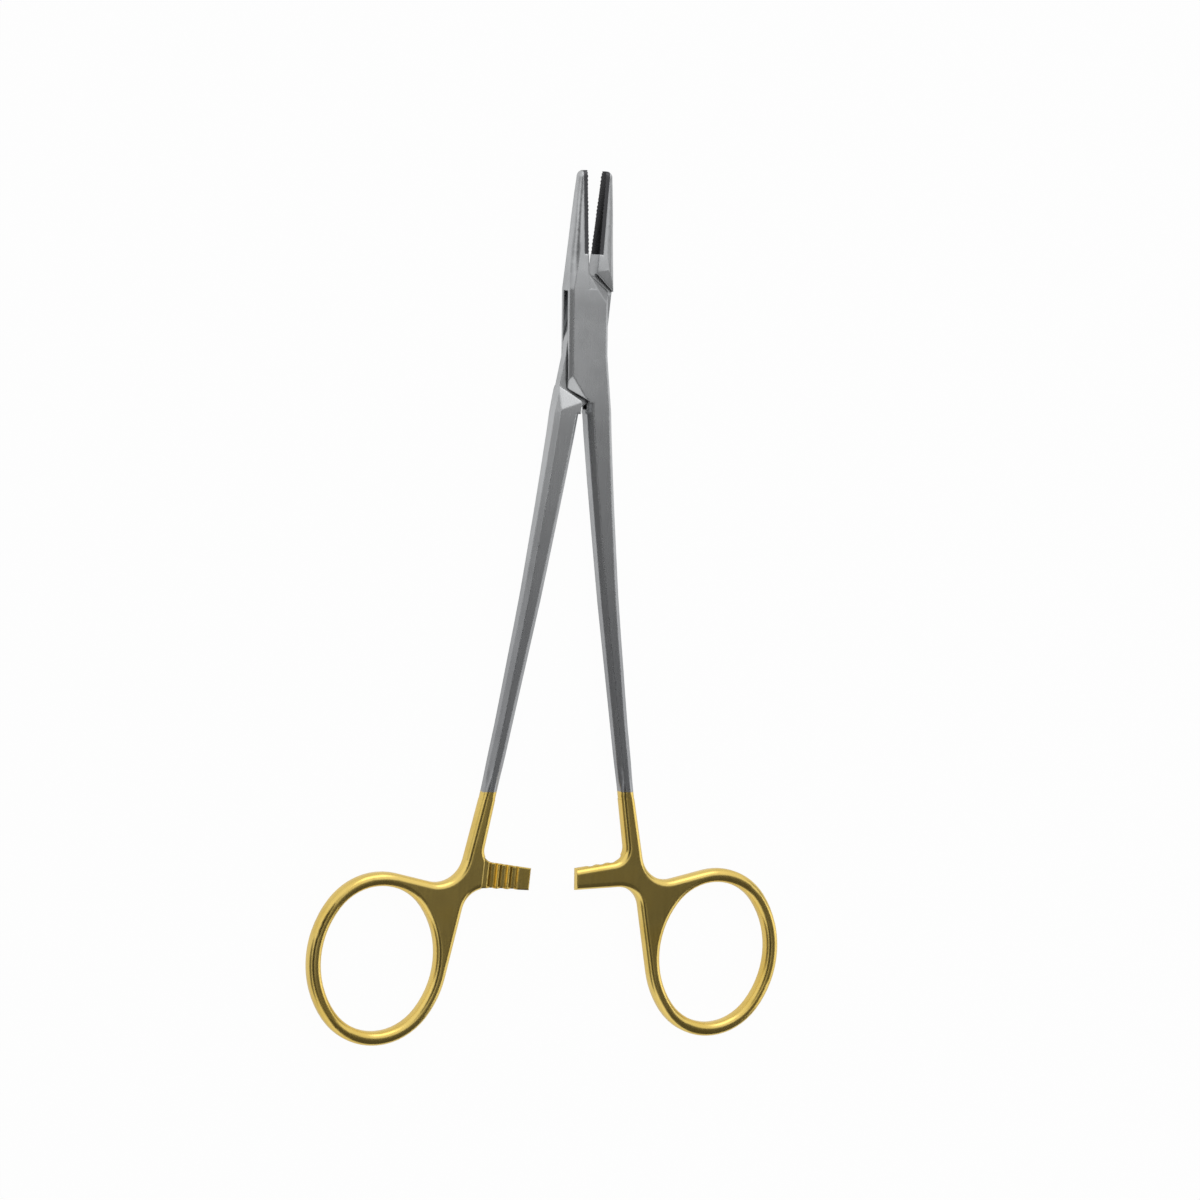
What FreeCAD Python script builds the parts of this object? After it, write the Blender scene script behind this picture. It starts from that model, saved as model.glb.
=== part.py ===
"""Needle holder with a box joint, carbide-faced jaws, ring handles and a three-step ratchet.

Lengths are in millimetres. The instrument lies flat: +Z is the joint pin's axis, +Y runs towards the jaw
tips and the handle of the boxed half lies on +X. The origin is on the pin's axis, in the plane of the back
of the box, which the instrument rests on. Each half is drawn as if the jaws were shut, about the pin at
(0, 0), with the middle of its thickness at z = 0, and is then turned open and lifted into place.
"""

import math
import os

import FreeCAD
import Part

Vector = FreeCAD.Vector

# Pose: how far each half is turned from the shut position
half_open_deg = 3.05

# Box joint: the box half's walls, and the slot through them
box_thickness = 5.6
box_half_width = 4.75
box_top_y = 16.6
box_top_thickness = 5.02
cheek_inner = 1.8
cheek_outer = 4.2
box_flare_y = -3.0
box_bottom_y = -16.0
box_bevel = 0.8
slot_thickness = 2.4
slot_end_side_y = 11.6
slot_end_middle_y = 15.28
box_upper_facet = ((3.91, 9.09), (-0.72, 15.33))
box_upper_facet_deg = 29
box_lower_facet = ((-4.84, -6.0), (-0.09, -13.2))
box_lower_facet_deg = 34
shoulder_gap = 0.35

# Tongue half: shoulders where it comes down to the tongue, and its fit in the slot
tongue_gap = 0.06
slot_end_gap = 0.35
tongue_upper_edge = ((-0.32, 15.83), (3.64, 12.75))
tongue_upper_facet = ((-0.11, 16.08), (3.48, 17.13))
tongue_upper_facet_deg = 7
tongue_lower_edge = ((-0.68, -12.89), (-5.43, -10.26))
tongue_lower_facet = ((-0.63, -13.43), (-5.19, -15.42))
tongue_lower_facet_deg = 16
tongue_waist_x = 3.3
tongue_waist_y = 12.0
facet_length = 5.2

# Joint pin
pin_radius = 1.6
pin_running_gap = 0.04
pin_head_radius = 2.0
pin_head_depth = 0.5

# Jaws
jaw_tip_y = 38.4
jaw_root_y = 12.0
jaw_tip_width = 2.2
jaw_root_width = 4.75
jaw_belly = 0.9
jaw_tip_thickness = 2.7
tip_round_length = 1.5
jaw_face_relief = 0.15
jaw_edge_break = 0.06
heel_step = 0.05
insert_thickness = 1.05
insert_root_y = 19.8
serration_pitch = 0.62
serration_depth = 0.2
serration_turn_deg = 45

# Shanks: distance from the middle line to the inner edge, and the width, down the handle
shank_root_inner = 0.25
shank_root_width = 5.9
shank_neck_inner = 4.45
shank_neck_width = 4.35
shank_neck_y = -59.0
shank_end_inner = 9.95
shank_end_width = 3.6
shank_end_y = -104.0
shank_end_inset = 0.05
shank_bevel = 1.05
shank_bevel_depth = 1.4
shank_bevel_end_depth = 0.95
shank_bevel_top_y = -13.5

# Handle rings
handle_thickness = 3.5
handle_round = 1.35
ring_centre_x = 34.05
ring_centre_y = -141.06
ring_inner_half_width = 13.63
ring_inner_half_length = 16.43
ring_end_fullness = 1.43
ring_stock_width = 3.14
ring_tilt_deg = -3.0
yoke_outer_radius = 6.5
yoke_outer_corner = (16.9, -124.4)
yoke_inner_radius = 5.5
yoke_inner_corner_x = 14.45

# Ratchet
ratchet_tip_x = -1.0
ratchet_drop = 14.0
ratchet_top_drop = 1.2
ratchet_height = 6.2
ratchet_root_radius = 3.0
ratchet_step_x = 11.3
ratchet_tooth_pitch = 2.6
ratchet_tooth_count = 3
ratchet_tooth_depth = 0.75
ratchet_end_pad = 2.9
ratchet_gap = 0.1

# Room past the object that cutting shapes reach to
reach = 80.0

# Worked out from the sizes above
box_half = box_thickness / 2
slot_half = slot_thickness / 2
tongue_half = slot_half - tongue_gap
handle_half = handle_thickness / 2
jaw_taper = (box_thickness - jaw_tip_thickness) / 2 / (jaw_tip_y - tip_round_length - jaw_root_y)
ring_end_radius = ring_inner_half_width - ring_end_fullness
ratchet_top_y = shank_end_y - ratchet_drop
ratchet_bottom_y = ratchet_top_y - ratchet_height
quarter_sagitta = 1 - math.sqrt(0.5)


def between(low, high, share):
    return low + (high - low) * share


def section(y, x_low, x_high, half, low_bevel, high_bevel):
    """Closed cross-section at y.

    Each bevel is (along x, along z, bulge), where a bulge of 0 is a flat facet and 1 a full round.
    """
    sides = (
        (x_high, 1, high_bevel, 1),
        (x_high, 1, high_bevel, -1),
        (x_low, -1, low_bevel, -1),
        (x_low, -1, low_bevel, 1),
    )
    corners = []
    for x, side, (along_x, along_z, bulge), up in sides:
        flat = Vector(x - side * along_x, y, up * half)
        steep = Vector(x, y, up * (half - along_z))
        outward = Vector(side * along_z, 0, up * along_x).normalize()
        lift = bulge * quarter_sagitta * math.hypot(along_x, along_z) / math.sqrt(2)
        middle = (flat + steep) * 0.5 + outward * max(lift, 0.004)
        corners.append((flat, middle, steep) if side * up > 0 else (steep, middle, flat))
    edges = []
    for index, (first, middle, last) in enumerate(corners):
        following = corners[(index + 1) % 4][0]
        edges.append(Part.Arc(first, middle, last).toShape())
        edges.append(Part.LineSegment(last, following).toShape())
    return Part.Wire(edges)


def prism(points, z_low, z_high):
    """Straight-sided block on a polygon of (x, y) points."""
    loop = [Vector(x, y, z_low) for x, y in points]
    face = Part.Face(Part.makePolygon(loop + loop[:1]))
    return face.extrude(Vector(0, 0, z_high - z_low))


def block(x_low, x_high, y_low, y_high):
    """Box in plan, more than the whole thickness deep."""
    corner = Vector(x_low, y_low, -box_thickness)
    return Part.makeBox(x_high - x_low, y_high - y_low, 2 * box_thickness, corner)


def mirrored(shape):
    return shape.mirror(Vector(0, 0, 0), Vector(1, 0, 0))


# Jaws and inserts


def jaw_width(y):
    share = (y - jaw_root_y) / (jaw_tip_y - tip_round_length - jaw_root_y)
    return between(jaw_root_width, jaw_tip_width, share) + jaw_belly * share * (1 - share)


def jaw_section(y, width, half, share):
    rounding = min(1, 2.2 * share)
    outer_x = between(box_bevel, 0.55 * width, rounding)
    outer_z = between(box_bevel, 0.6 * half, rounding)
    outer = (outer_x, outer_z, 0.9 * rounding)
    return section(y, jaw_face_relief, width, half, (jaw_edge_break, jaw_edge_break, 0), outer)


def jaw_blank():
    """The jaw on +X, from the box to its rounded tip, before the insert is parted from it."""
    body_end = jaw_tip_y - tip_round_length
    stations = []
    for share in (0.0, 0.15, 0.3, 0.5, 0.75, 1.0):
        y = between(jaw_root_y, body_end, share)
        half = between(box_half, jaw_tip_thickness / 2, share)
        stations.append(jaw_section(y, jaw_width(y), half, share))
    body = Part.makeLoft(stations, True, False)
    tip = []
    for turn_deg in (0, 25, 45, 62, 76):
        turn = math.radians(turn_deg)
        y = body_end + tip_round_length * math.sin(turn)
        width = jaw_tip_width * (0.35 + 0.65 * math.cos(turn))
        half = jaw_tip_thickness / 2 * (0.42 + 0.58 * math.cos(turn))
        tip.append(jaw_section(y, width, half, 1))
    return body.fuse(Part.makeLoft(tip, True, False)).removeSplitter()


def insert_pocket():
    return block(-1, jaw_face_relief + insert_thickness, insert_root_y, reach)


def heel_relief():
    """Room between the jaws behind the inserts, where the steel stands back from the gripping faces."""
    return block(-1, jaw_face_relief + heel_step, jaw_root_y - 1, insert_root_y)


def serration_cutter(turn_deg):
    """Rows of V grooves across a gripping face, turned about the middle of the insert by turn_deg."""
    count = int((jaw_tip_y - insert_root_y) / serration_pitch / 2) + 4
    points = []
    for index in range(-count, count + 1):
        points.append(Vector(0, (index - 0.5) * serration_pitch, 0))
        points.append(Vector(serration_depth, index * serration_pitch, 0))
    points.append(Vector(0, (count + 0.5) * serration_pitch, 0))
    points.append(Vector(-1, points[-1].y, 0))
    points.append(Vector(-1, points[0].y, 0))
    profile = Part.Face(Part.makePolygon(points + points[:1]))
    cutter = profile.extrude(Vector(0, 0, 4 * box_thickness))
    cutter.translate(Vector(jaw_face_relief, 0, -2 * box_thickness))
    cutter.rotate(Vector(0, 0, 0), Vector(1, 0, 0), turn_deg)
    cutter.translate(Vector(0, (jaw_tip_y + insert_root_y) / 2, 0))
    return cutter


def carbide_insert(blank):
    """The facing brazed into a jaw, cross-cut on its gripping side."""
    bar = blank.common(insert_pocket())
    return bar.cut(serration_cutter(serration_turn_deg)).cut(serration_cutter(-serration_turn_deg))


# Shanks


def shank_inner(y):
    """Distance of a shank's inner edge from the middle line."""
    if y > shank_neck_y:
        share = (y - box_bottom_y) / (shank_neck_y - box_bottom_y)
        return between(shank_root_inner, shank_neck_inner, share ** 1.12)
    share = (y - shank_neck_y) / (shank_end_y - shank_neck_y)
    return between(shank_neck_inner, shank_end_inner, share)


def shank_width(y):
    share = (y - box_bottom_y) / (shank_neck_y - box_bottom_y)
    if share < 1:
        return between(shank_root_width, shank_neck_width, share)
    share = (y - shank_neck_y) / (shank_end_y - shank_neck_y)
    return between(shank_neck_width, shank_end_width, min(1, 1.6 * share))


def shank_section(y):
    share = (box_bottom_y - y) / (box_bottom_y - shank_end_y)
    inner = shank_inner(y)
    half = handle_half + (box_half - handle_half) * (1 - share) ** 2
    roundness = min(1, max(0, (share - 0.9) / 0.1))
    along_x = between(shank_bevel, handle_round, roundness)
    bevel_depth = between(shank_bevel_depth, shank_bevel_end_depth, min(1, 2 * share))
    along_z = between(bevel_depth, handle_round, roundness)
    bevel = (along_x, along_z, roundness)
    inset = roundness * shank_end_inset
    return section(y, inner + inset, inner + shank_width(y) - inset, half - inset, bevel, bevel)


def shank():
    above_neck = [box_bottom_y, -22, -30, -40, -50]
    below_neck = [shank_neck_y, -70, -82, -92, -98, shank_end_y, shank_end_y - 2]
    return Part.makeLoft([shank_section(y) for y in above_neck + below_neck], True, False)


# Ring, yoke and ratchet arm


def from_ring(x, y):
    """Point given in the ring's own directions, its length along y, turned and moved into place."""
    turn = math.radians(ring_tilt_deg)
    across = Vector(math.cos(turn), math.sin(turn), 0)
    along = Vector(-across.y, across.x, 0)
    return Vector(ring_centre_x, ring_centre_y, 0) + across * x + along * y


def tangent_angle(point, centre, radius, side):
    """Direction from an arc's centre to where the tangent from a point outside touches it."""
    away = Vector(*point, 0) - centre
    return math.atan2(away.y, away.x) + side * math.acos(radius / away.Length)


def ring_arcs(stock, top_corner=None, side_corner=None):
    """The ring's oval of four arcs, widened by stock, whole or open between the yoke's two corners."""
    end_room = ring_inner_half_length - ring_end_radius
    width, end = ring_inner_half_width, ring_end_radius
    side = (end ** 2 - width ** 2 - end_room ** 2) / (2 * (end - width))
    meet = math.atan2(end_room, side - width)
    tilt = math.radians(ring_tilt_deg)
    top_centre, left_centre = from_ring(0, end_room), from_ring(side - width, 0)
    top_end = side_start = math.pi - meet + tilt
    if top_corner:
        top_end = tangent_angle(top_corner, top_centre, end + stock, -1)
        side_start = tangent_angle(side_corner, left_centre, side + stock, 1)
    spans = (
        (left_centre, side, side_start, math.pi + meet + tilt),
        (from_ring(0, -end_room), end, math.pi + meet + tilt, 2 * math.pi - meet + tilt),
        (from_ring(width - side, 0), side, tilt - meet, tilt + meet),
        (top_centre, end, tilt + meet, top_end),
    )
    edges = []
    for centre, radius, start, finish in spans:
        circle = Part.Circle(centre, Vector(0, 0, 1), radius + stock)
        edges.append(Part.ArcOfCircle(circle, start, finish).toShape())
    return edges


def rounded_path(points, radius):
    """Two lines through three points, with the corner rounded."""
    start, corner, end = points
    come, leave = (start - corner).normalize(), (end - corner).normalize()
    half_angle = come.getAngle(leave) / 2
    back = radius / math.tan(half_angle)
    bisector = (come + leave).normalize()
    middle = corner + bisector * (radius / math.sin(half_angle) - radius)
    enter, leave_point = corner + come * back, corner + leave * back
    return [
        Part.LineSegment(start, enter).toShape(),
        Part.Arc(enter, middle, leave_point).toShape(),
        Part.LineSegment(leave_point, end).toShape(),
    ]


def handle_outline():
    """Outer edge of the shank's end, the yoke, the ring and the ratchet arm, as one closed wire."""
    inner_x = shank_inner(shank_end_y)
    outer_x = inner_x + shank_width(shank_end_y)
    slope = (shank_end_inner - shank_neck_inner) / (shank_neck_y - shank_end_y)
    side_corner = (yoke_inner_corner_x, ratchet_bottom_y)
    ring = ring_arcs(ring_stock_width, yoke_outer_corner, side_corner)
    side_point, top_point = ring[0].firstVertex(True).Point, ring[-1].lastVertex(True).Point
    shank_inner_corner = Vector(inner_x, shank_end_y, 0)
    shank_outer_corner = Vector(outer_x, shank_end_y, 0)
    tip_bottom = Vector(ratchet_tip_x, ratchet_bottom_y, 0)
    tip_top = Vector(ratchet_tip_x, ratchet_top_y - ratchet_top_drop, 0)
    root = Vector(inner_x + slope * (shank_end_y - ratchet_top_y), ratchet_top_y, 0)
    outer_corner = Vector(*yoke_outer_corner, 0)
    edges = rounded_path([shank_outer_corner, outer_corner, top_point], yoke_outer_radius)
    edges += ring
    edges += rounded_path([side_point, Vector(*side_corner, 0), tip_bottom], yoke_inner_radius)
    edges.append(Part.LineSegment(tip_bottom, tip_top).toShape())
    edges += rounded_path([tip_top, root, shank_inner_corner], ratchet_root_radius)
    edges.append(Part.LineSegment(shank_inner_corner, shank_outer_corner).toShape())
    return Part.Wire(Part.__sortEdges__(edges))


def handle_plate():
    """Yoke, ring and ratchet arm at full thickness, with their long edges rounded."""
    hole = Part.Wire(ring_arcs(0))
    face = Part.Face([handle_outline(), hole])
    face.translate(Vector(0, 0, -handle_half))
    plate = face.extrude(Vector(0, 0, handle_thickness))
    long_edges = []
    for edge in plate.Edges:
        box = edge.BoundBox
        at_tip = abs(box.XMax - ratchet_tip_x) < 1e-6
        at_shank = abs(box.YMin - shank_end_y) < 1e-6
        if box.ZLength < 1e-6 and not at_tip and not at_shank:
            long_edges.append(edge)
    return plate.makeFillet(handle_round, long_edges)


def ratchet_notches():
    """Saw-tooth cuts into a ratchet arm that lies behind z = 0, from its tip towards its root."""
    top, bottom = -ratchet_gap / 2, -ratchet_gap / 2 - ratchet_tooth_depth
    first = ratchet_tip_x + ratchet_end_pad
    points = [(first, box_thickness)]
    for index in range(ratchet_tooth_count):
        start = first + index * ratchet_tooth_pitch
        points.append((start, top))
        points.append((start + 0.22 * ratchet_tooth_pitch, bottom))
        points.append((start + 0.5 * ratchet_tooth_pitch, bottom))
        points.append((start + 0.92 * ratchet_tooth_pitch, top))
    end = first + ratchet_tooth_count * ratchet_tooth_pitch
    points += [(end, top), (end, box_thickness)]
    loop = [Vector(x, ratchet_bottom_y - 2, z) for x, z in points]
    face = Part.Face(Part.makePolygon(loop + loop[:1]))
    return face.extrude(Vector(0, ratchet_top_y - ratchet_bottom_y + 4, 0))


def handle(arm_is_behind):
    """Handle on +X. Its arm keeps the back half, with the teeth facing forward, or the other way."""
    plate = handle_plate()
    corner = Vector(ratchet_tip_x - 1, ratchet_bottom_y - 1, -ratchet_gap / 2)
    length, height = ratchet_step_x - ratchet_tip_x + 1, ratchet_top_y - ratchet_bottom_y + 2
    spare = Part.makeBox(length, height, handle_thickness, corner)
    plate = plate.cut(spare).cut(ratchet_notches())
    return plate if arm_is_behind else plate.mirror(Vector(0, 0, 0), Vector(0, 0, 1))


# Box joint


def pin_hole(radius):
    return Part.makeCylinder(radius, 2 * box_thickness, Vector(0, 0, -box_thickness))


def rivet_heads():
    """Cones that the pin's two ends are spread into, flush with the box."""
    depth = pin_head_depth
    front = Part.makeCone(pin_radius, pin_head_radius, depth, Vector(0, 0, box_half - depth))
    back = Part.makeCone(pin_head_radius, pin_radius, depth, Vector(0, 0, -box_half))
    return front.fuse(back)


def joint_pin():
    pin = Part.makeCylinder(pin_radius, box_thickness, Vector(0, 0, -box_half))
    return pin.fuse(rivet_heads()).removeSplitter()


def box_body():
    """Solid middle of a half between jaw and shank, its handle side flaring out to the shank."""
    bevel = (box_bevel, box_bevel, 0)
    root_slant = (shank_bevel, shank_bevel_depth, 0)
    flare = shank_root_inner + shank_root_width
    stations = [
        section(jaw_root_y, -box_half_width, box_half_width, box_half, bevel, bevel),
        section(box_flare_y, -box_half_width, box_half_width, box_half, bevel, bevel),
        section(box_bottom_y, -box_half_width, flare, box_half, bevel, root_slant),
    ]
    cheek = [
        section(jaw_root_y - 0.5, -cheek_inner, cheek_outer, box_half - 0.01, bevel, bevel),
        section(box_top_y, -cheek_inner, cheek_outer, box_top_thickness / 2, bevel, bevel),
    ]
    return Part.makeLoft(stations, True, True).fuse(Part.makeLoft(cheek, True, True))


def beyond(line, profile):
    """Bar on the right of a line in plan and its mirror at the back. Its profile is (across, z) points."""
    start, end = Vector(*line[0], 0), Vector(*line[1], 0)
    along = (end - start).normalize()
    right = Vector(along.y, -along.x, 0)
    foot = start - along * (reach / 2)
    loop = [foot + right * across + Vector(0, 0, z) for across, z in profile]
    bar = Part.Face(Part.makePolygon(loop + loop[:1])).extrude(along * reach)
    return bar.fuse(bar.mirror(Vector(0, 0, 0), Vector(0, 0, 1)))


def layer_beyond(line, low_z, across=0):
    """All on the right of a line, from low_z to past the face; a shift across moves it to the right."""
    profile = [(across, low_z), (across, box_thickness), (reach, box_thickness), (reach, low_z)]
    return beyond(line, profile)


def ground_facet(line, z, slope_deg):
    """What grinding takes off: a plane through the line at height z, sinking to the right of it."""
    foot = z - facet_length * math.tan(math.radians(slope_deg))
    profile = [(0, z), (0, box_thickness), (facet_length, box_thickness), (facet_length, foot)]
    return beyond(line, profile)


def end_wedges(gap):
    """Room beyond the two ends of the box's slot, less gap: at the jaw on -X and at the shank on +X."""
    slope = (slot_end_middle_y - slot_end_side_y) / box_half_width
    high = slot_end_middle_y - gap * math.hypot(1, slope)
    outline = [(0, high), (0, reach), (-reach, reach), (-reach, high - slope * reach)]
    wedge = prism(outline, -box_thickness, box_thickness)
    return [wedge, wedge.rotated(Vector(0, 0, 0), Vector(0, 0, 1), 180)]


def middle_layer(half):
    square = [(-reach, -reach), (reach, -reach), (reach, reach), (-reach, reach)]
    return prism(square, -half, half)


def waist_cuts():
    """Narrows the tongue towards its ends, so that it stays inside the box's outline as it turns."""
    wide, beyond_wide = box_half_width + 0.05, 2 * box_half_width
    outline = [(-wide, 0), (-tongue_waist_x, tongue_waist_y), (-tongue_waist_x, box_top_y)]
    cut = prism(outline + [(-beyond_wide, box_top_y), (-beyond_wide, 0)], -box_thickness, box_thickness)
    return [cut, cut.rotated(Vector(0, 0, 0), Vector(0, 0, 1), 180)]


def root_bevel():
    """Carries the shank's inner bevel up past its root to the box's wall."""
    edge_x = shank_root_inner + shank_bevel
    slope_deg = math.degrees(math.atan2(shank_bevel_depth, shank_bevel))
    facet = ground_facet(((edge_x, 0), (edge_x, -1)), box_half, slope_deg)
    return facet.common(block(-reach, reach, box_bottom_y, shank_bevel_top_y))


def box_side(blank):
    """Half with the box: jaw on -X, handle on +X."""
    jaw = mirrored(blank.cut(insert_pocket()).cut(heel_relief()))
    body = jaw.fuse([box_body(), shank(), handle(False)])
    slot = middle_layer(slot_half).cut(end_wedges(0))
    beside_jaw = block(-jaw_face_relief - heel_step, reach, 0, reach)
    beside_shank = block(-reach, shank_root_inner, 2 * box_bottom_y, 0)
    upper = layer_beyond(tongue_upper_edge[::-1], slot_half, -shoulder_gap)
    upper = upper.fuse(ground_facet(box_upper_facet, box_half, box_upper_facet_deg)).common(beside_jaw)
    lower = layer_beyond(tongue_lower_edge[::-1], slot_half, -shoulder_gap)
    lower = lower.fuse(ground_facet(box_lower_facet, box_half, box_lower_facet_deg)).common(beside_shank)
    hole = pin_hole(pin_radius).fuse(rivet_heads())
    return body.cut([slot, upper, lower, root_bevel(), hole])


def tongue_side(blank):
    """Half with the tongue: jaw on +X, handle on -X."""
    jaw = blank.cut(insert_pocket()).cut(heel_relief())
    body = jaw.fuse([mirrored(box_body()), mirrored(shank()), mirrored(handle(True))])
    below_jaw = layer_beyond(tongue_upper_edge, tongue_half)
    window = below_jaw.common(layer_beyond(tongue_lower_edge, tongue_half))
    jaw_root = block(jaw_face_relief, reach, 0, box_top_y + 2)
    shank_root = block(-reach, -shank_root_inner, 2 * box_bottom_y, 0)
    jaw_facet_z = box_half - (tongue_upper_facet[0][1] - jaw_root_y) * jaw_taper
    upper = ground_facet(tongue_upper_facet, jaw_facet_z, tongue_upper_facet_deg).common(jaw_root)
    lower = ground_facet(tongue_lower_facet, box_half, tongue_lower_facet_deg).common(shank_root)
    end_y = slot_end_middle_y - slot_end_gap
    jaw_gap = block(-reach, jaw_face_relief + heel_step, end_y, reach)
    shank_gap = block(-shank_root_inner, reach, -reach, -end_y)
    beside_shank = block(-shank_root_inner, reach, -reach, tongue_lower_edge[0][1])
    beside_shank = beside_shank.cut(middle_layer(tongue_half))
    hole = pin_hole(pin_radius + pin_running_gap)
    cuts = [window, jaw_gap, shank_gap, beside_shank, upper, lower, hole]
    return body.cut(cuts + end_wedges(slot_end_gap) + waist_cuts())


def main():
    blank = jaw_blank()
    insert = carbide_insert(blank)
    pieces = (
        ("box_half", box_side(blank), 1),
        ("tongue_half", tongue_side(blank), -1),
        ("joint_pin", joint_pin(), 1),
        ("box_jaw_insert", mirrored(insert), 1),
        ("tongue_jaw_insert", insert, -1),
    )
    os.makedirs("parts", exist_ok=True)
    for name, shape, side in pieces:
        shape = shape.removeSplitter()
        shape.rotate(Vector(0, 0, 0), Vector(0, 0, 1), side * half_open_deg)
        shape.translate(Vector(0, 0, box_half))
        print(name, shape.isValid(), len(shape.Solids), round(shape.Volume, 1))
        shape.Solids[0].exportStep("parts/" + name + ".step")


if __name__ == "__main__":
    main()
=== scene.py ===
import math

import bpy
from mathutils import Matrix, Vector

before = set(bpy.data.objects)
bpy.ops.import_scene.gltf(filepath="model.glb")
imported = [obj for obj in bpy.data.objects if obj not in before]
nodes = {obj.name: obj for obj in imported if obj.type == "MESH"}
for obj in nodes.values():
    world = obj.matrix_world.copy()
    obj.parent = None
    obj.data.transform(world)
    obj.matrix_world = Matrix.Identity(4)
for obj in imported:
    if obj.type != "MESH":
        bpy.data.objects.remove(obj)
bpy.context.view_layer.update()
print("frame loaded:", len(nodes), "nodes")


class Value:
    # a shader socket that takes Python arithmetic
    def __init__(self, shader, socket):
        self.shader = shader
        self.socket = socket

    def maths(self, operation, *values):
        return self.shader.node("Math", {"operation": operation}, dict(enumerate(values)))

    def __add__(self, other):
        return self.maths("ADD", self, other)

    def __sub__(self, other):
        return self.maths("SUBTRACT", self, other)

    def __rsub__(self, other):
        return self.maths("SUBTRACT", other, self)

    def __mul__(self, other):
        return self.maths("MULTIPLY", self, other)

    def __pow__(self, other):
        return self.maths("POWER", self, other)

    __radd__ = __add__
    __rmul__ = __mul__

    def softened(self, width):
        # what a soft corner at 0 adds to the sharp one
        return self.maths("SMOOTH_MAX", self, 0.0, width) - self.maths("MAXIMUM", self, 0.0)

    def clipped(self, high):
        # never below 0 or above high
        return self.maths("MINIMUM", self.maths("MAXIMUM", self, 0.0), high)

    def between(self, low, high):
        # 0 at low, 1 at high, eased
        limits = {"Value": self, "From Min": low, "From Max": high}
        return self.shader.node("MapRange", {"interpolation_type": "SMOOTHSTEP"}, limits)


class Shader:
    # a node tree: node() adds a node with its settings, then its sockets by name or by number
    def __init__(self, tree):
        self.tree = tree
        tree.nodes.clear()

    def node(self, kind, settings=None, sockets=None, output=0):
        node = self.tree.nodes.new("ShaderNode" + kind)
        for name, value in (settings or {}).items():
            setattr(node, name, value)
        for place, value in (sockets or {}).items():
            self.feed(node.inputs[place], value)
        return Value(self, node.outputs[output]) if node.outputs else None

    def feed(self, socket, value):
        if isinstance(value, Value):
            self.tree.links.new(value.socket, socket)
        elif isinstance(value, tuple) and len(socket.default_value) == 4:
            socket.default_value = (*value, 1)  # a colour, with its alpha
        else:
            socket.default_value = value

    def mix(self, factor, first, second):
        return self.node("Mix", {"data_type": "RGBA"}, {0: factor, 6: first, 7: second}, 2)

    def either(self, factor, first, second):
        return self.node("MixShader", None, {0: factor, 1: first, 2: second})

    def noise(self, coords, scale, detail, roughness=0.5):
        sockets = {"Vector": coords, "Scale": scale, "Detail": detail, "Roughness": roughness}
        return self.node("TexNoise", None, sockets)


def newMaterial(name):
    material = bpy.data.materials.new(name)
    material.use_nodes = True
    return material, Shader(material.node_tree)


# steel: brushed lengthwise, with soft clouds of a darker shade, and painted shade that darkens the
# lower shank
steelLook = {
    "colour": (0.6, 0.61, 0.62),
    "shade": (0.51, 0.52, 0.53),
    # painted shade: the darker colour the lower shank is led into
    "shank": (0.26, 0.265, 0.28),
    # painted shade for crevices, gaps and sides close to the floor, and how far it reaches
    "creviceShade": (0.02, 0.02, 0.02),
    "creviceReach": 0.0014,
    "roughness": 0.27,
    "grain": 0.07,
    "clouds": 0.1,
    "brushing": (2400, 110, 2400),
    "cloudScale": 95.0,
    "speckScale": 5200.0,
    "edgeRadius": 0.0005,
}

# gold plating, from a slightly uneven line across the lower shanks down
goldLook = {
    "colour": (0.92, 0.68, 0.2),
    "shade": (0.84, 0.6, 0.15),
    "roughness": 0.2,
    "line": -0.1015,
    "wander": 0.0009,
    "fray": 0.0004,
    "fade": 0.00012,
}

# where a half's form changes, in metres along it from the pin, and how steeply it falls away there
halfShape = {
    "openDegrees": 3.05,
    "jawRoot": 0.012,
    "jawSlope": 0.058,
    "shankRoot": -0.016,
    "shankSlope": 0.024,
    "creaseWidth": 0.006,
    # where the lower shank's painted shade begins, and how far along it deepens
    "shankShadeFrom": -0.02,
    "shankShadeOver": 0.06,
    "handleSeam": -0.104,
    "seamClear": (0.0000004, 0.000002),  # squares of the distance from the seam
    "pinClear": (0.0028, 0.0032),
}

# the facet ground at the root of the tongue half's jaw
jawFacet = {"start": 0.01608, "riseDegrees": 16.3, "length": 0.006, "slope": 0.1}


def softCreases(along):
    # height that leads the box's flat softly into the jaw's and the shank's slopes
    jaw = (along - halfShape["jawRoot"]).softened(halfShape["creaseWidth"])
    shank = (halfShape["shankRoot"] - along).softened(halfShape["creaseWidth"])
    return jaw * -halfShape["jawSlope"] + shank * -halfShape["shankSlope"]


def polishedFacet(across, along, facet):
    # height that leads a ground facet softly into the flat beside it
    rise = math.radians(facet["riseDegrees"])
    below = across * math.sin(rise) - (along - facet["start"]) * math.cos(rise)
    return below.clipped(facet["length"]) * facet["slope"]


def brokenEdges(shader, coords, along, radius):
    # edges rounded by polishing, but not the ground-in pin's or the seam at the handle
    rounded = shader.node("Bevel", {"samples": 6}, {"Radius": radius})
    plan = shader.node("Mapping", None, {"Vector": coords, "Scale": (1, 1, 0)})
    fromPin = shader.node("VectorMath", {"operation": "LENGTH"}, {"Vector": plan}, "Value")
    offPin = fromPin.between(*halfShape["pinClear"])
    offSeam = ((along - halfShape["handleSeam"]) ** 2.0).between(*halfShape["seamClear"])
    sharp = shader.node("NewGeometry", output="Normal")
    return shader.mix(offPin * offSeam, sharp, rounded)


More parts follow.
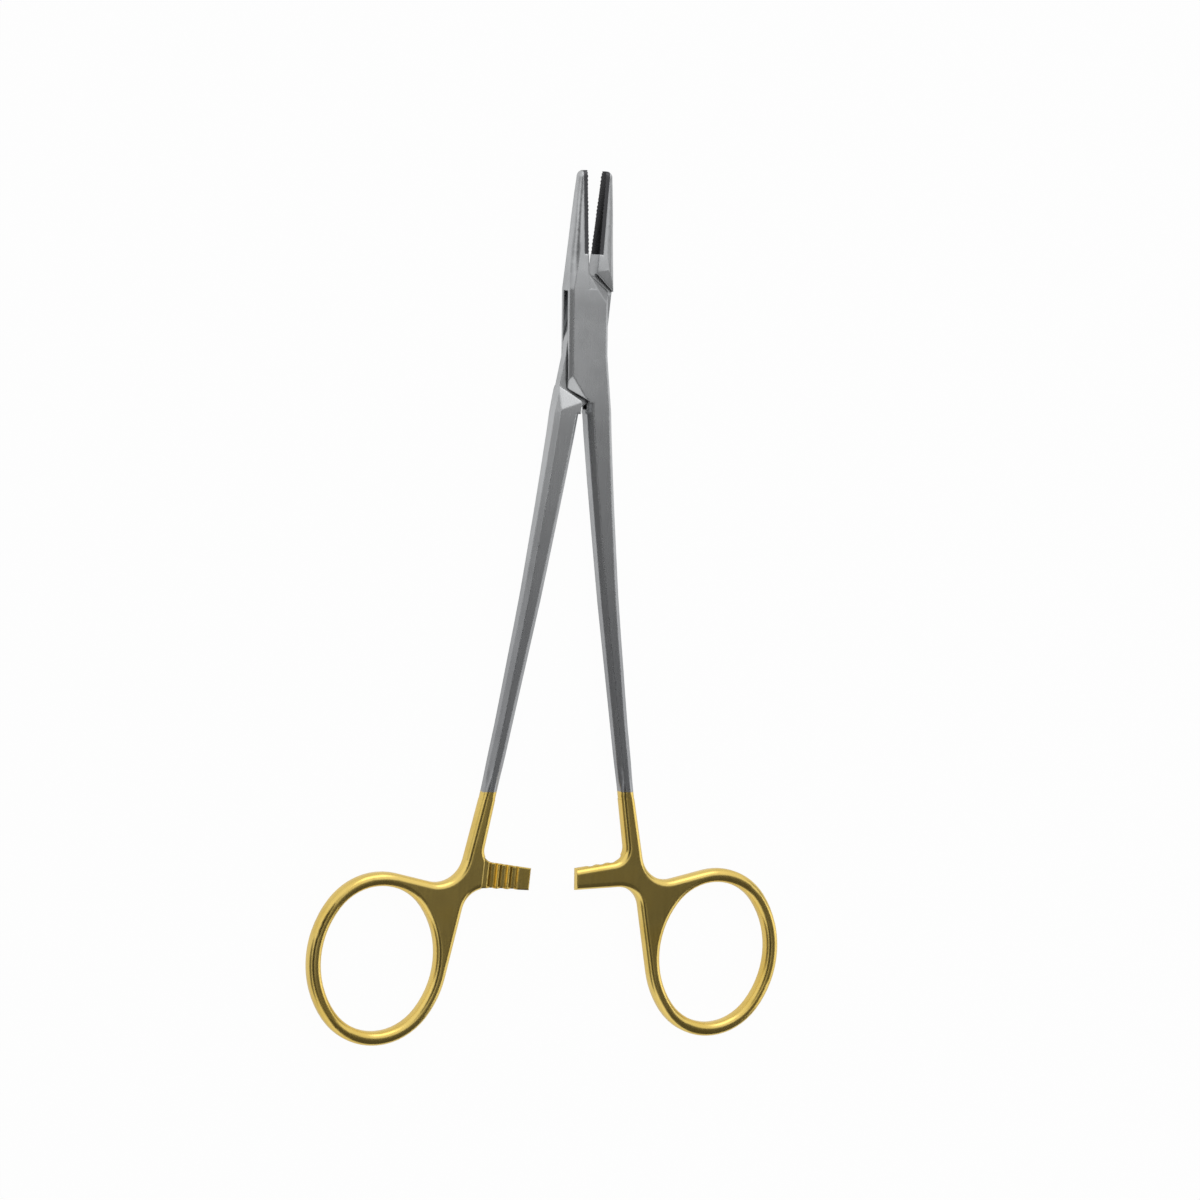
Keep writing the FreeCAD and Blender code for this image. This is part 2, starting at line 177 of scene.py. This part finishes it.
def satinMetal(name, look, plating=None, openDegrees=0.0, facet=None):
    material, shader = newMaterial(name)
    coords = shader.node("TexCoord", output="Object")
    x = shader.node("SeparateXYZ", None, {"Vector": coords}, "X")
    y = shader.node("SeparateXYZ", None, {"Vector": coords}, "Y")
    turn = math.radians(openDegrees)
    along = y * math.cos(turn) - x * math.sin(turn)

    stretched = shader.node("Mapping", None, {"Vector": coords, "Scale": look["brushing"]})
    grain = shader.noise(stretched, 1.0, 3.0)
    cloud = shader.noise(coords, look["cloudScale"], 4.0, 0.6)
    specks = shader.noise(coords, look["speckScale"], 1.0)

    colour = shader.mix(cloud.between(0.38, 0.68), look["colour"], look["shade"])
    # painted shade: the colour darkens down the shank, standing in for its darker reflection
    paintedShankShade = (halfShape["shankShadeFrom"] - along).between(0.0, halfShape["shankShadeOver"])
    colour = shader.mix(paintedShankShade * 0.5, colour, look["shank"])
    roughness = look["roughness"] + (grain - 0.5) * look["grain"] + (cloud - 0.5) * look["clouds"]
    if plating:
        edge = plating["line"] + (cloud - 0.5) * plating["wander"] + (grain - 0.5) * plating["fray"]
        plated = (edge - y).between(-plating["fade"], plating["fade"])
        gold = shader.mix(cloud.between(0.42, 0.7), plating["colour"], plating["shade"])
        colour = shader.mix(plated, colour, gold)
        roughness = roughness + plated * (plating["roughness"] - look["roughness"])
    # painted shade: colour darkened where other surfaces are close, in crevices and gaps
    openness = shader.node("AmbientOcclusion", {"samples": 6}, {"Distance": look["creviceReach"]}, "AO")
    paintedCreviceShade = shader.mix(0.85, colour, look["creviceShade"])
    colour = shader.mix(openness.between(0.2, 0.85), paintedCreviceShade, colour)

    crease = softCreases(along)
    if facet:
        across = x * math.cos(turn) + y * math.sin(turn)
        crease = crease + polishedFacet(across, along, facet)
    normal = brokenEdges(shader, coords, along, look["edgeRadius"])
    formed = {"Strength": 1.0, "Distance": 1.0, "Height": crease, "Normal": normal}
    normal = shader.node("Bump", None, formed)
    height = grain * 0.6 + specks * 0.4
    brushed = {"Strength": 0.08, "Distance": 0.00006, "Height": height, "Normal": normal}
    normal = shader.node("Bump", None, brushed)

    metal = {"Base Color": colour, "Metallic": 1.0, "Roughness": roughness, "Normal": normal}
    surface = shader.node("BsdfPrincipled", None, metal)
    shader.node("OutputMaterial", None, {"Surface": surface})
    return material


# sintered carbide of the jaw facings, with painted shade in the hollows of the cross-cut
carbideLook = {
    "crest": (0.09, 0.09, 0.095),
    # painted shade for the hollows, and how far it reaches
    "pitShade": (0.003, 0.003, 0.003),
    "pitReach": 0.0004,
    "metallic": 0.85,
    "roughness": 0.34,
    "grit": 0.3,
    "gritScale": 7000.0,
}


def sinteredCarbide(name, look):
    material, shader = newMaterial(name)
    coords = shader.node("TexCoord", output="Object")
    grit = shader.noise(coords, look["gritScale"], 2.0)
    # painted shade: darker where the cross-cut's hollows close in
    openness = shader.node("AmbientOcclusion", {"samples": 8}, {"Distance": look["pitReach"]}, "AO")
    colour = shader.mix(openness.between(0.55, 1.0), look["pitShade"], look["crest"])
    roughness = look["roughness"] + (grit - 0.5) * look["grit"]
    normal = shader.node("Bump", None, {"Strength": 0.3, "Distance": 0.00005, "Height": grit})
    hard = {
        "Base Color": colour,
        "Metallic": look["metallic"],
        "Roughness": roughness,
        "Normal": normal,
    }
    surface = shader.node("BsdfPrincipled", None, hard)
    shader.node("OutputMaterial", None, {"Surface": surface})
    return material


openDegrees = halfShape["openDegrees"]
carbide = sinteredCarbide("carbideFacing", carbideLook)
finishes = {
    "box_half": satinMetal("boxHalfSteel", steelLook, goldLook, openDegrees),
    "tongue_half": satinMetal("tongueHalfSteel", steelLook, goldLook, -openDegrees, jawFacet),
    "joint_pin": satinMetal("pinSteel", steelLook),
    "box_jaw_insert": carbide,
    "tongue_jaw_insert": carbide,
}
for node, finish in finishes.items():
    for place in nodes[node].material_slots:
        place.material = finish
print("materials done:", len(finishes), "nodes")

# pale floor that the camera sees as white, with a trace of shadow
floorLook = {
    "size": 4,
    "place": (0, -0.06, -0.00002),
    "grey": (0.86, 0.86, 0.86),
    "whiteSeen": 0.97,
    "whiteMirrored": 0.5,
}
bpy.ops.mesh.primitive_plane_add(size=floorLook["size"], location=floorLook["place"])
floor = bpy.context.object
floor.name = "floor"
floorMaterial, shader = newMaterial("floorWhite")
plain = shader.node("BsdfDiffuse", None, {"Color": floorLook["grey"]})
glow = shader.node("Emission", None, {"Color": (1.0, 1.0, 1.0), "Strength": 1.0})
seen = shader.node("LightPath", output="Is Camera Ray")
mirrored = shader.node("LightPath", output="Is Glossy Ray")
whiteness = seen * floorLook["whiteSeen"] + mirrored * floorLook["whiteMirrored"]
shader.node("OutputMaterial", None, {"Surface": shader.either(whiteness, plain, glow)})
floor.data.materials.append(floorMaterial)
print("floor done")

# bright room, with darker cards that the flats, the left bevels and the right facets mirror
roomLook = {"bright": 0.87, "low": 0.72, "horizon": (-0.2, 0.3)}
cards = (
    # a card fades in between two cosines of the angle from its middle
    {"toward": (0.6, -0.6, 0.53), "fade": (0.67, 0.8), "level": 0.08},
    {"toward": (-0.93, -0.3, 0.3), "fade": (0.86, 0.95), "level": 0.15},
    {"toward": (-0.25, -0.15, 0.95), "fade": (0.87, 0.97), "level": 0.03},
    {"toward": (0.93, 0.25, 0.2), "fade": (0.93, 0.985), "level": 0.35},
)
world = bpy.data.worlds.new("studio")
bpy.context.scene.world = world
world.use_nodes = True
room = Shader(world.node_tree)
direction = room.node("TexCoord", output="Generated")
up = room.node("SeparateXYZ", None, {"Vector": direction}, "Z")
brighter = up.between(*roomLook["horizon"])
level = roomLook["low"] + brighter * (roomLook["bright"] - roomLook["low"])
for card in cards:
    middle = Vector(card["toward"]).normalized()
    cosine = room.node("VectorMath", {"operation": "DOT_PRODUCT"}, {0: direction, 1: middle}, "Value")
    share = cosine.between(*card["fade"])
    level = level * (1 - share) + share * card["level"]
lit = room.node("Background", None, {"Color": (1.0, 1.0, 1.0), "Strength": level})
white = room.node("Background", None, {"Color": (1.0, 1.0, 1.0), "Strength": 1.0})
seen = room.node("LightPath", output="Is Camera Ray")
room.node("OutputWorld", None, {"Surface": room.either(seen, lit, white)})

# softboxes, aimed at the middle of the instrument
aim = Vector((0, -0.06, 0))
softboxes = {
    "backSoftbox": {"place": (0.2, 0.85, 0.75), "size": 0.7, "power": 1.5},
    "rightSoftbox": {"place": (0.85, -0.3, 0.35), "size": 0.6, "power": 1.0},
}
for name, box in softboxes.items():
    bpy.ops.object.light_add(type="AREA", location=box["place"])
    light = bpy.context.object
    light.name = name
    light.data.size = box["size"]
    light.data.energy = box["power"]
    toward = aim - Vector(box["place"])
    light.rotation_euler = toward.to_track_quat("-Z", "Y").to_euler()
print("room and lights done")

# camera, solved from the rings, shanks and jaws in the photograph
cameraLook = {
    "right": (0.9068, 0.0609, 0.417),
    "up": (-0.0186, 0.9943, -0.1047),
    "back": (-0.4211, 0.0872, 0.9028),
    "place": (-0.3746, 0.0213, 0.8225),
    "lens": 120.56,
    "sensorWidth": 36,
    "nearest": 0.01,
}
bpy.ops.object.camera_add()
camera = bpy.context.object
camera.name = "photoCamera"
turn = Matrix([cameraLook["right"], cameraLook["up"], cameraLook["back"]]).transposed().to_4x4()
camera.matrix_world = Matrix.Translation(cameraLook["place"]) @ turn
camera.data.lens = cameraLook["lens"]
camera.data.sensor_width = cameraLook["sensorWidth"]
camera.data.clip_start = cameraLook["nearest"]
bpy.context.scene.camera = camera
bpy.context.scene.view_settings.view_transform = "Standard"
print("camera done")
